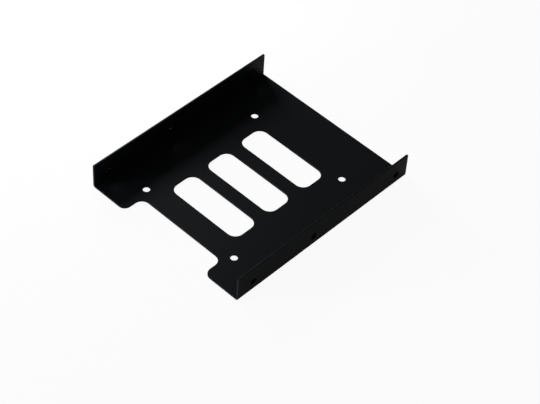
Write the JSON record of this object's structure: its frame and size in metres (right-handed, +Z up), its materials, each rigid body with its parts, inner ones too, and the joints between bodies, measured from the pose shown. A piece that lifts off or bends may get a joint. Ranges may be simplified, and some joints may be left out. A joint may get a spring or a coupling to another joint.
{
  "type": "drive bay adapter bracket",
  "caption": "Folded sheet-metal tray that carries a small drive in a larger drive bay, with air slots, a notch for plugs and tapped holes in its side flanges.",
  "frame": {"origin": "on the underside of the plate, at the middle of the tray", "axes": "+X across the tray from flange to flange, +Y from the notched front edge to the back edge, +Z up, the way the flanges point"},
  "size_m": [0.1016, 0.12, 0.015],
  "materials": {
    "black_paint": "satin"
  },
  "bodies": {
    "root": {"bracket": "black_paint"}
  },
  "joints": []
}
